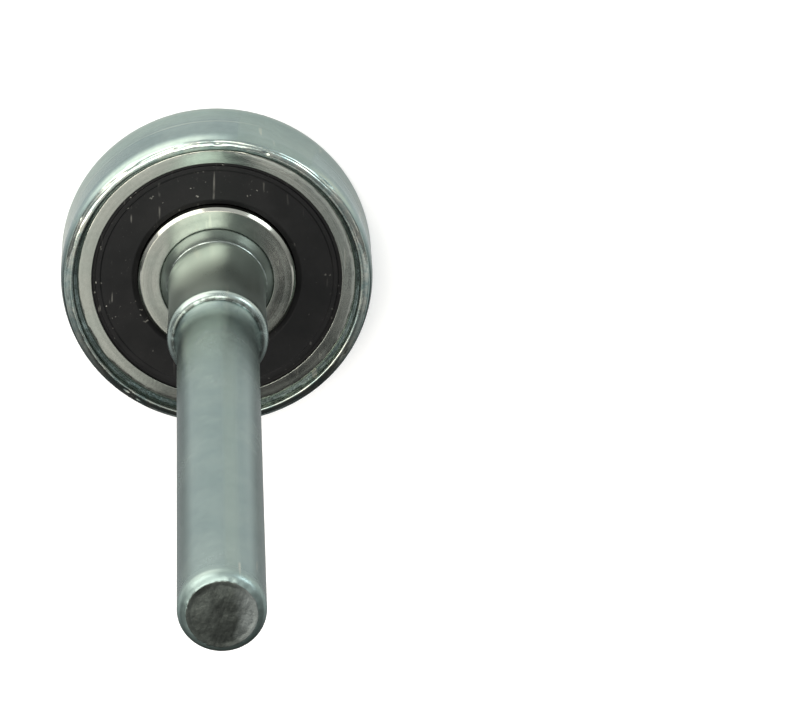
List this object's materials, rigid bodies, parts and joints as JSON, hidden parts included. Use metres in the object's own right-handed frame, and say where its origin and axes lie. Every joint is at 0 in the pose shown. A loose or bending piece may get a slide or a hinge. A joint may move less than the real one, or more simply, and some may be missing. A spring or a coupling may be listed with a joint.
{
  "type": "garage door roller",
  "caption": "Sealed ball bearing wheel with a rolled steel tyre on a round steel stem with a beaded neck; the tyre runs in a door track and the stem turns in a hinge bracket.",
  "frame": {"origin": "on the roller's axis, in the plane of the rear lip's crest, which the roller stands on", "axes": "+Z along the stem, from the wheel towards the stem's tip; X and Y across the wheel"},
  "size_m": [0.0388, 0.0388, 0.1063],
  "materials": {
    "stem_steel": "satin zinc plated steel with a grey-green tint",
    "tyre_steel": "satin zinc plated steel, bright and scuffed at the rolled lips",
    "ring_steel": "fine ground bearing steel",
    "ball_steel": "polished bearing steel",
    "cage_steel": "pressed steel strip",
    "rivet_steel": "headed soft steel",
    "seal_rubber": "black moulded rubber, slightly dusty"
  },
  "bodies": {
    "stem": {"stem": "stem_steel", "inner_ring": "ring_steel"},
    "wheel": {"tyre": "tyre_steel", "outer_ring": "ring_steel", "front_seal": "seal_rubber", "rear_seal": "seal_rubber"},
    "cage": {"cage_front_half": "cage_steel", "cage_rear_half": "cage_steel", "cage_rivets": "rivet_steel"},
    "ball_1": {"ball_1": "ball_steel"},
    "ball_2": {"ball_2": "ball_steel"},
    "ball_3": {"ball_3": "ball_steel"},
    "ball_4": {"ball_4": "ball_steel"},
    "ball_5": {"ball_5": "ball_steel"},
    "ball_6": {"ball_6": "ball_steel"},
    "ball_7": {"ball_7": "ball_steel"},
    "ball_8": {"ball_8": "ball_steel"},
    "ball_9": {"ball_9": "ball_steel"}
  },
  "joints": [
    {"name": "wheel_spin", "type": "hinge", "parent": "stem", "child": "wheel", "pos_m": [0, 0, 0.0058], "axis": [0, 0, 1], "continuous": true},
    {"name": "cage_orbit", "type": "hinge", "parent": "stem", "child": "cage", "pos_m": [0, 0, 0.0058], "axis": [0, 0, 1], "continuous": true},
    {"name": "ball_1_spin", "type": "hinge", "parent": "cage", "child": "ball_1", "pos_m": [0.01275, 0, 0.0058], "axis": [0, 0, 1], "continuous": true},
    {"name": "ball_2_spin", "type": "hinge", "parent": "cage", "child": "ball_2", "pos_m": [0.00977, 0.0082, 0.0058], "axis": [0, 0, 1], "continuous": true},
    {"name": "ball_3_spin", "type": "hinge", "parent": "cage", "child": "ball_3", "pos_m": [0.00221, 0.01256, 0.0058], "axis": [0, 0, 1], "continuous": true},
    {"name": "ball_4_spin", "type": "hinge", "parent": "cage", "child": "ball_4", "pos_m": [-0.00637, 0.01104, 0.0058], "axis": [0, 0, 1], "continuous": true},
    {"name": "ball_5_spin", "type": "hinge", "parent": "cage", "child": "ball_5", "pos_m": [-0.01198, 0.00436, 0.0058], "axis": [0, 0, 1], "continuous": true},
    {"name": "ball_6_spin", "type": "hinge", "parent": "cage", "child": "ball_6", "pos_m": [-0.01198, -0.00436, 0.0058], "axis": [0, 0, 1], "continuous": true},
    {"name": "ball_7_spin", "type": "hinge", "parent": "cage", "child": "ball_7", "pos_m": [-0.00637, -0.01104, 0.0058], "axis": [0, 0, 1], "continuous": true},
    {"name": "ball_8_spin", "type": "hinge", "parent": "cage", "child": "ball_8", "pos_m": [0.00221, -0.01256, 0.0058], "axis": [0, 0, 1], "continuous": true},
    {"name": "ball_9_spin", "type": "hinge", "parent": "cage", "child": "ball_9", "pos_m": [0.00977, -0.0082, 0.0058], "axis": [0, 0, 1], "continuous": true}
  ],
  "couplings": [
    {"joint": "cage_orbit", "follows": "wheel_spin", "ratio": 0.59338},
    {"joint": "ball_1_spin", "follows": "wheel_spin", "ratio": 2.5838},
    {"joint": "ball_2_spin", "follows": "wheel_spin", "ratio": 2.5838},
    {"joint": "ball_3_spin", "follows": "wheel_spin", "ratio": 2.5838},
    {"joint": "ball_4_spin", "follows": "wheel_spin", "ratio": 2.5838},
    {"joint": "ball_5_spin", "follows": "wheel_spin", "ratio": 2.5838},
    {"joint": "ball_6_spin", "follows": "wheel_spin", "ratio": 2.5838},
    {"joint": "ball_7_spin", "follows": "wheel_spin", "ratio": 2.5838},
    {"joint": "ball_8_spin", "follows": "wheel_spin", "ratio": 2.5838},
    {"joint": "ball_9_spin", "follows": "wheel_spin", "ratio": 2.5838}
  ]
}
